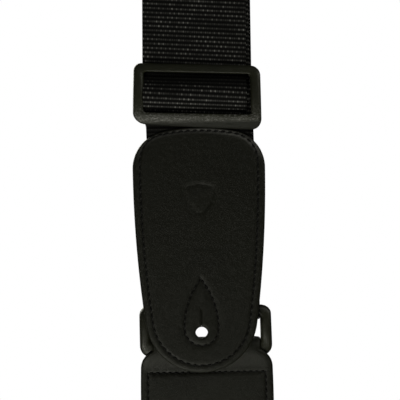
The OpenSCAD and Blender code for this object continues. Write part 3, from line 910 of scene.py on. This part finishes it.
hole_z = FRONT_TIP + HOLE_UP
edge_seam, drop_seam = Seam(front_seam(0), EDGE_PITCH), Seam(teardrop(hole_z), DROP_PITCH)
guides = guide_loops(front_loop, front_seam) + near_line(teardrop(hole_z), True) + near_hole(hole_z)
mark = plectrum(FRONT_WIDE - 14, 6.6)
face_place = facing_front(X_FRONT, middle("front_tab_face", 1))
back_place = facing_back(X_FRONT, middle("front_tab_backing", 1))


def crown_rim_highlight(p):
    """Painted highlight on the rim round the crown, where it faces up to the light, stronger on the right
    towards the upper right lamp.
    """
    up = np.clip((p[:, 1] - FRONT_WIDE - 3) / 9, 0, 1)
    return up * (0.7 + 0.3 * np.clip(p[:, 0] / 15, -1, 1))


# the face leather carries a painted highlight on the rim round its crown
leather("front_tab_face_leather", "front_tab_face", "front_half", LEATHER, front_loop(0), keyhole(hole_z),
        [edge_seam, drop_seam], guides + near_line(mark, True, ((0.0, 0.5), (0.3, 0.6))),
        face_place, FACE_T, mark=mark, pale_highlight=crown_rim_highlight)
# the backing's hole sits a little lower, and its slit a little aside from the face's
leather("front_tab_backing_leather", "front_tab_backing", "front_half", LINING, front_loop(0),
        keyhole(hole_z - 0.8, 0.2), [edge_seam, drop_seam], guides, back_place, BACKING_T, 0.3)
for kind, node, seam in (("edge", "edge", edge_seam), ("teardrop", "buttonhole", drop_seam)):
    name, node = f"front_tab_{kind}_stitches", f"front_tab_{node}_thread"
    stitches(name, node, "front_half", [seam.stitches], face_place, ON_FACE)
    stitches(name + "_behind", node, "front_half", [seam.stitches], back_place, ON_BACKING)

# ---- rear tab: its face leather goes round the ring's lower bar and back down behind itself ----

LEATHER_LOOP_R = RING_R + 0.25 + FACE_T / 2
REAR_FACE_Y = 2.08
START_Z = REAR_TIP - 20
to_loop = RING_Y - LEATHER_LOOP_R
path = [(REAR_FACE_Y, START_Z), (REAR_FACE_Y, RING_LOW - 11)]
for t in np.linspace(1, 0, 31):
    path.append((to_loop + (REAR_FACE_Y - to_loop) * ease(t), RING_LOW - 1 - 10 * t))
path += arc(RING_Y, RING_LOW, LEATHER_LOOP_R, 180, 0, 50).tolist()
for t in np.linspace(0, 1, 31):
    path.append((RING_Y + LEATHER_LOOP_R * (1 - ease(t)), RING_LOW - 1 - 9 * t))
path = np.array(path + [(RING_Y, RING_LOW - 24)])
path_at = np.concatenate([[0], np.cumsum(np.hypot(*np.diff(path, axis=0).T))]) + START_Z


def on_path(v):
    return np.interp(v, path_at, path[:, 0]), np.interp(v, path_at, path[:, 1])


def rear_place(x, v, off):
    (y0, z0), (y, z), (y1, z1) = on_path(v - 0.4), on_path(v), on_path(v + 0.4)
    size = np.maximum(np.hypot(y1 - y0, z1 - z0), 1e-9)
    return np.stack([X_BACK + x * REAR_WIDER, y - off * (z1 - z0) / size, z + off * (y1 - y0) / size], 1)


def rear_loop(d):
    return both(np.concatenate([[[REAR_NECK_HALF - d, path_at[-1]]], rear_side(d)]))


def rear_edge(d):
    return both(rear_side(d))


def rear_seam(d):
    return rear_edge(SEAM + d)


hole_z = REAR_TIP + HOLE_UP
side = rear_side(SEAM)
cross = np.array([[0.2 - HALF + SEAM, CROSS_Z], [HALF - SEAM - 0.2, CROSS_Z]])
edge_seam = Seam(both(side[side[:, 1] < CROSS_Z - 0.9]), EDGE_PITCH, False)
cross_seam = Seam(cross, CROSS_PITCH, False)
drop_seam = Seam(teardrop(hole_z), DROP_PITCH)
seams = [edge_seam, cross_seam, drop_seam]
shared = near_line(teardrop(hole_z), True) + near_hole(hole_z) + near_line(cross, False)
bends = np.arange(RING_LOW - 12, RING_LOW + 22, 0.7)
bend_rows = [np.stack([np.linspace(-25, 25, 26), np.full(26, v)], 1) for v in bends]
guides = guide_loops(rear_loop, rear_seam, False, RING_LOW + 26) + shared + bend_rows
leather("rear_tab_face_leather", "rear_tab_face", "rear_tab", LEATHER, rear_loop(0), keyhole(hole_z),
        seams, guides, rear_place, FACE_T)

backing_top = top("rear_tab_backing")
side = rear_side(0)
corner = [float(np.interp(-backing_top, -side[:, 1], side[:, 0])), backing_top]
outline = both(np.concatenate([[corner], side[side[:, 1] < backing_top - 0.05]]))
back_place = facing_back(X_BACK, middle("rear_tab_backing", 1), REAR_WIDER)
guides = guide_loops(rear_edge, rear_seam, False, backing_top - 0.3) + shared
leather("rear_tab_backing_leather", "rear_tab_backing", "rear_tab", LINING, outline, keyhole(hole_z, 0.2),
        seams, guides, back_place, BACKING_T, 0.3)
for where, place, surface in (("", rear_place, ON_FACE), ("_behind", back_place, ON_BACKING)):
    for kind, node, seam in (("edge", "edge", edge_seam), ("cross", "cross", cross_seam),
                             ("teardrop", "buttonhole", drop_seam)):
        stitches(f"rear_tab_{kind}_stitches{where}", f"rear_tab_{node}_thread", "rear_tab",
                 [seam.stitches], place, surface)

# ---- box-and-cross seam on the webbing's sewn end ----

box_x, box_z = size_of("end_loop_thread", 0) / 2 - 0.35, size_of("end_loop_thread", 2) / 2 - 0.35
box_mid = middle("end_loop_thread", 2)
corners = np.array([[x * box_x, box_mid + z * box_z] for x, z in ((-1, -1), (1, -1), (1, 1), (-1, 1))])
runs = [Seam(corners, BOX_PITCH).stitches]
for k in (-1, 1):
    diagonal = np.array([[1 - box_x, box_mid - k * (box_z - 1)], [box_x - 1, box_mid + k * (box_z - 1)]])
    runs.append(Seam(diagonal, BOX_PITCH, False).stitches)
stitches("sewn_end_box_stitches", "end_loop_thread", "slider", runs, facing_back(X_FRONT, TAIL_Y),
         WEB_T / 2 - 0.05, 0.3, 0.05)

# ---- moulded pieces ----


def rounded(half_x, up, down, radii):
    """A rectangle with round corners as (x, z, outward x, outward z), always in the same number of
    steps. The radii go round from the upper right to the upper left, lower left and lower right."""
    side_steps, corner_steps = 40, 10
    centres = []
    for (sx, sz, height), r in zip(((1, 1, up), (-1, 1, up), (-1, -1, down), (1, -1, down)), radii):
        centres.append((sx * (half_x - r), sz * (height - r), r))
    found = []
    for i, (cx, cz, r) in enumerate(centres):
        for a in np.radians(np.linspace(90 * i, 90 * i + 90, corner_steps + 1)):
            found.append((cx + r * math.cos(a), cz + r * math.sin(a), math.cos(a), math.sin(a)))
        x0, z0, nx, nz = found[-1]
        cx, cz, r = centres[(i + 1) % 4]
        dx, dz = cx + r * nx - x0, cz + r * nz - z0
        for t in np.arange(1, side_steps) / side_steps:
            found.append((x0 + dx * t, z0 + dz * t, nx, nz))
    return found


def power(v, e):
    return math.copysign(abs(v) ** e, v)


def bar_section(half, thick, e, parting_line):
    """A bar's outline as (out, forward): between a box and an ellipse, with a faint parting line."""
    found = []
    for a in np.linspace(0, 2 * math.pi, 33)[:-1]:
        out, forward = half * power(math.cos(a), e), thick * power(math.sin(a), e)
        out += parting_line * dip(forward, 0.16) if out > 0 else 0
        found.append((out, forward))
    return found


def frame_between(outer, inner, section):
    """A moulded frame whose bars run between an outer and an inner outline. The section gives a bar's
    (out, forward) pairs from its own middle."""
    verts, faces, m = [], [], 0
    for (x1, z1, out_x, out_z), (x0, z0, _, _) in zip(outer, inner):
        cx, cz = (x0 + x1) / 2, (z0 + z1) / 2
        half = math.dist((x0, z0), (x1, z1)) / 2
        ux, uz = (x1 - x0) / (2 * half), (z1 - z0) / (2 * half)
        pairs = section(out_x, out_z, half, cz)
        m = len(pairs)
        verts += [(cx + out * ux, -forward, cz + out * uz) for out, forward in pairs]
    for i in range(len(outer)):
        for j in range(m):
            k, e = (i + 1) % len(outer), (j + 1) % m
            faces.append([i * m + j, i * m + e, k * m + e, k * m + j])
    return np.array(verts), faces


def moulded(name, node, body, mat, verts, faces):
    ob = make_object(name, verts * MM, faces, mat, sharp=60)
    outward_normals(ob)
    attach(ob, body)
    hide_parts(node)


def on_slider(v):
    """The slider's own shape, turned to the angle at which it sits across the webbing."""
    c, s = math.cos(SLIDER_TILT), math.sin(SLIDER_TILT)
    return np.stack([SLIDER_X + v[:, 0] * c + v[:, 2] * s, v[:, 1], SLIDER_Z - v[:, 0] * s + v[:, 2] * c], 1)


SLIDER_HALF, SIDE_BAR = 30.7, 4.95
SLIDER_FRAME_Y = box("slider_frame")[0][1] + 1.6


def slider_section(out_x, out_z, half, z):
    """A bar that is thickest at the sides. The frame is bowed, so its upper and lower bars lean back."""
    lean = math.tan(math.radians(11 if out_z < 0 else 9)) * out_z**2
    pairs = bar_section(half, 1.9 - 0.45 * out_z**2, 0.66 - 0.2 * max(0.0, -out_z), 0.06)
    bow = [0.008 * (z + out * out_z) ** 2 for out, _ in pairs]
    return [(out, forward - lean * out - SLIDER_FRAME_Y - b) for (out, forward), b in zip(pairs, bow)]


def slider_outline(half_x, up, down, radii, sag):
    """The slider is a little wider below, and leans to the left. Its lower bar sags outside."""
    found = []
    for x, z, out_x, out_z in rounded(half_x, up, down, radii):
        fall = sag * min(0.0, out_z) * (0.4 * (1 - (x / 31) ** 2) + 0.025 * x)
        found.append((x * (1 - 0.00068 * z) - 0.45 - 0.03 * z, z + fall, out_x, out_z))
    return found


outer = slider_outline(SLIDER_HALF, 14.4, 15.5, (4.6, 3.6, 6.0, 4.5), 1)
inner = slider_outline(SLIDER_HALF - SIDE_BAR, 10.2, 9.4, (1.5,) * 4, 0)
verts, faces = frame_between(outer, inner, slider_section)
moulded("slider_moulding", "slider_frame", "slider", SLIDER_PLASTIC, on_slider(verts), faces)

# the middle bar flares where it meets the sides
verts, rings = [], np.linspace(3.4 - SLIDER_HALF, SLIDER_HALF - 3.4, 33)
for x in rings:
    flare = 1 + 0.3 * max(0.0, (abs(x) - 25.4) / 3) ** 2
    for a in np.linspace(0, 2 * math.pi, 21)[:-1]:
        y, z = 1.2 * flare * power(math.cos(a), 0.8), 1.8 * flare * power(math.sin(a), 0.8)
        verts.append((x, BAR_Y + y, z))
moulded("slider_middle_bar", "slider_frame", "slider", SLIDER_PLASTIC, on_slider(np.array(verts)),
        tube_faces(0, len(rings), 20))

RING_HALF, RING_UP, RING_SIDE = size_of("ring", 0) / 2, size_of("ring", 2) / 2, 5.6


def ring_section(out_x, out_z, half, z):
    """Round bars above and below, flatter ones at the sides, which bulge forward at mid-height."""
    pairs = bar_section(half, RING_R - 0.3 * abs(out_x), 1 - 0.28 * abs(out_x), 0.05)
    reach = (RING_UP - RING_R) ** 2
    bulge = [0.012 * max(0.0, reach - (z + out * out_z) ** 2) for out, _ in pairs]
    return [(out, forward - RING_Y + b) for (out, forward), b in zip(pairs, bulge)]


outer = []
for x, z, out_x, out_z in rounded(RING_HALF, RING_UP, RING_UP, (5.2, 5.6, 4.4, 4.4)):
    fall = max(0, out_z) * ease((x - 22) / 5) - min(0, out_z) * 0.9 * ease((abs(x) - 25) / 3)
    outer.append((x * (0.997 - 0.0003 * z) - 0.28 - 0.013 * z, z - fall, out_x, out_z))
inside_up = RING_UP - 2 * RING_R
inner = [(x - 0.28 - 0.013 * z, z, out_x, out_z)
         for x, z, out_x, out_z in rounded(RING_HALF - RING_SIDE, inside_up, inside_up, (1.4,) * 4)]
verts, faces = frame_between(outer, inner, ring_section)
moulded("ring_moulding", "ring", "ring_loop", RING_PLASTIC, verts + [RING_X, 0, RING_Z], faces)

# the fillers stay as the frame's own pieces, with leather on the little of their edge that shows
for node in ("front_tab_filler", "rear_tab_filler"):
    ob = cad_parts[node]
    if not ob.material_slots:
        ob.data.materials.append(LINING)
    for slot in ob.material_slots:
        slot.material = LINING

# ---- floor, light and surroundings ----


def floor(below, r):
    paper = Nodes("floor").finish(Base_Color=grey(0.8), Roughness=0.6)
    a = np.linspace(0, 2 * math.pi, 97)[:-1]
    verts = np.stack([r * np.cos(a), r * np.sin(a), np.full(96, cad_box[0][2] - below)], 1)
    make_object("floor", verts, [list(range(96))], paper, smooth=False)


def lamp(name, where, target, width, height, watts):
    data = bpy.data.lights.new(name, "AREA")
    data.shape, data.size, data.size_y, data.energy = "RECTANGLE", width, height, watts
    data.color = (1.0, 1.0, 0.87)
    ob = bpy.data.objects.new(name, data)
    scene.collection.objects.link(ob)
    ob.location = where
    ob.rotation_euler = (Vector(target) - Vector(where)).to_track_quat("-Z", "Y").to_euler()


def surroundings(seen, light):
    """White as the camera sees it, and a dim white for everything else."""
    world = bpy.data.worlds.new("studio")
    scene.world = world
    world.use_nodes = True
    tree = world.node_tree
    tree.nodes.clear()
    mixer = tree.nodes.new("ShaderNodeMixShader")
    rays, end = tree.nodes.new("ShaderNodeLightPath"), tree.nodes.new("ShaderNodeOutputWorld")
    tree.links.new(rays.outputs["Is Camera Ray"], mixer.inputs[0])
    for slot, strength in ((1, light), (2, seen)):
        white = tree.nodes.new("ShaderNodeBackground")
        white.inputs["Color"].default_value = (1, 1, 1, 1)
        white.inputs["Strength"].default_value = strength
        tree.links.new(white.outputs[0], mixer.inputs[slot])
    tree.links.new(mixer.outputs[0], end.inputs[0])


floor(0.5, 0.5)
lamp("key_low_front", (-0.28, -0.60, -0.97), (0, 0, -0.36), 0.3, 0.16, 2.9)
lamp("upper_right", (0.62, -0.42, 0.12), (0, 0, -0.33), 0.3, 0.3, 1.4)
lamp("back_fill", (-0.5, 0.7, 0.1), (0, 0, -0.3), 0.6, 0.6, 8.0)
surroundings(1.0, 0.04)
scene.view_settings.view_transform = "Standard"
